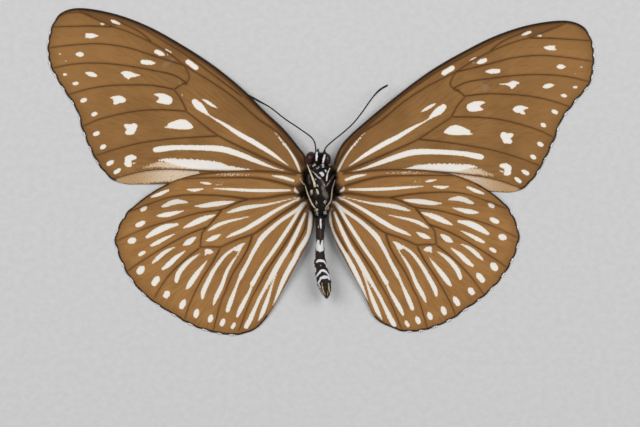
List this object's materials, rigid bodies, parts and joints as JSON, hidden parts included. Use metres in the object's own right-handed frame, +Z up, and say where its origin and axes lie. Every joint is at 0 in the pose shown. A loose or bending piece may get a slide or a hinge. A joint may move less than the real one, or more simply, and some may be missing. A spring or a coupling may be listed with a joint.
{
  "type": "set butterfly specimen",
  "caption": "Dry butterfly set with its wings spread, lying on its back with the brown, white-streaked underside up.",
  "frame": {"origin": "on the ground under the middle of the specimen's bounding box", "axes": "+Y towards the head, +X towards the insect's own left wings, +Z up, the way the underside faces"},
  "size_m": [0.091, 0.0544, 0.0068],
  "materials": {
    "wing_scales": "matte brown scales with white streaks and spots",
    "body_fur": "short black hair with white and cream tufts",
    "abdomen_scales": "dark brown scales with pale rings",
    "eye_shell": "dark wine-brown, finely faceted, satin",
    "horn": "dark satin horn with pale lines"
  },
  "bodies": {
    "root": {"thorax": "body_fur", "abdomen": "abdomen_scales", "head": "body_fur", "eye_left": "eye_shell", "eye_right": "eye_shell", "palp_left": "body_fur", "palp_right": "body_fur", "antenna_left": "horn", "antenna_right": "horn", "forewing_left": "wing_scales", "forewing_right": "wing_scales", "hindwing_left": "wing_scales", "hindwing_right": "wing_scales", "foreleg_left": "horn", "foreleg_right": "horn", "midleg_left": "horn", "midleg_right": "horn", "hindleg_left": "horn", "hindleg_right": "horn"}
  },
  "joints": []
}
